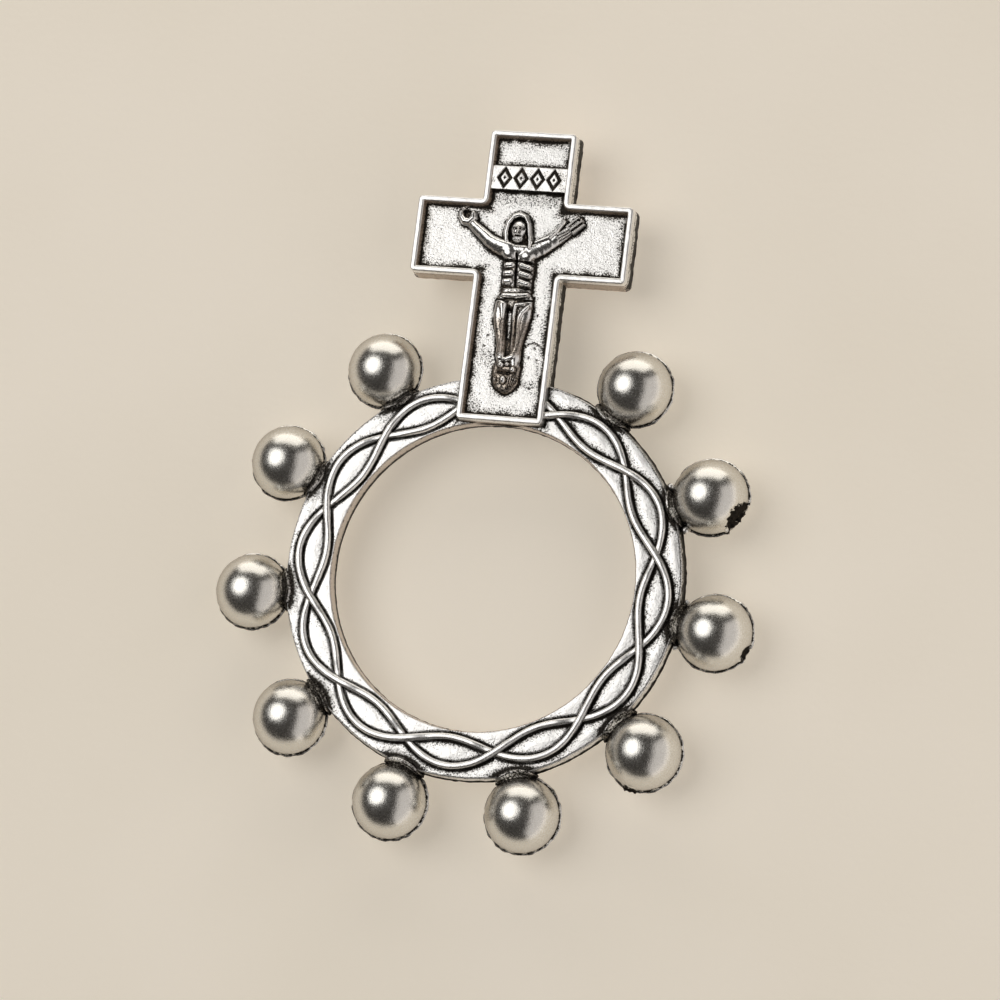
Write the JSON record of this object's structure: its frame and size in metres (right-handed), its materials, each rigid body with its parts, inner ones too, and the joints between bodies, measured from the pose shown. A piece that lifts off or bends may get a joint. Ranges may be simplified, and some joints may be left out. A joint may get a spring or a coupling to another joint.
{
  "type": "finger rosary",
  "caption": "Rigid finger rosary: flat finger ring with interlaced strands in relief, round beads on short collars around its edge, and a framed crucifix.",
  "frame": {"origin": "middle of the object's outline seen from the front, on the surface that it lies on", "axes": "+Z is the normal of the front face, out of the crucifix; +Y points to the top of the cross; +X is to the right seen from the front. It lies on its beads."},
  "size_m": [0.0354, 0.0466, 0.0048],
  "materials": {
    "band_silver": "antique silver plate, grainy, dark patina in the recesses",
    "strand_silver": "antique silver plate, worn bright on the ridges",
    "bead_silver": "polished antique silver plate with fine scratches",
    "collar_silver": "antique silver plate, dark patina with bright scratches",
    "panel_silver": "antique silver plate, speckled panel",
    "rim_silver": "antique silver plate, worn bright",
    "figure_silver": "antique silver plate, patina in the folds"
  },
  "bodies": {
    "root": {"ring_band": "band_silver", "strand_a": "strand_silver", "strand_b": "strand_silver", "bead_01": "bead_silver", "bead_02": "bead_silver", "bead_03": "bead_silver", "bead_04": "bead_silver", "bead_05": "bead_silver", "bead_06": "bead_silver", "bead_07": "bead_silver", "bead_08": "bead_silver", "bead_09": "bead_silver", "bead_10": "bead_silver", "bead_collar_01": "collar_silver", "bead_collar_02": "collar_silver", "bead_collar_03": "collar_silver", "bead_collar_04": "collar_silver", "bead_collar_05": "collar_silver", "bead_collar_06": "collar_silver", "bead_collar_07": "collar_silver", "bead_collar_08": "collar_silver", "bead_collar_09": "collar_silver", "bead_collar_10": "collar_silver", "cross_plate": "panel_silver", "cross_rim": "rim_silver", "title_board": "rim_silver", "corpus": "figure_silver"}
  },
  "joints": []
}
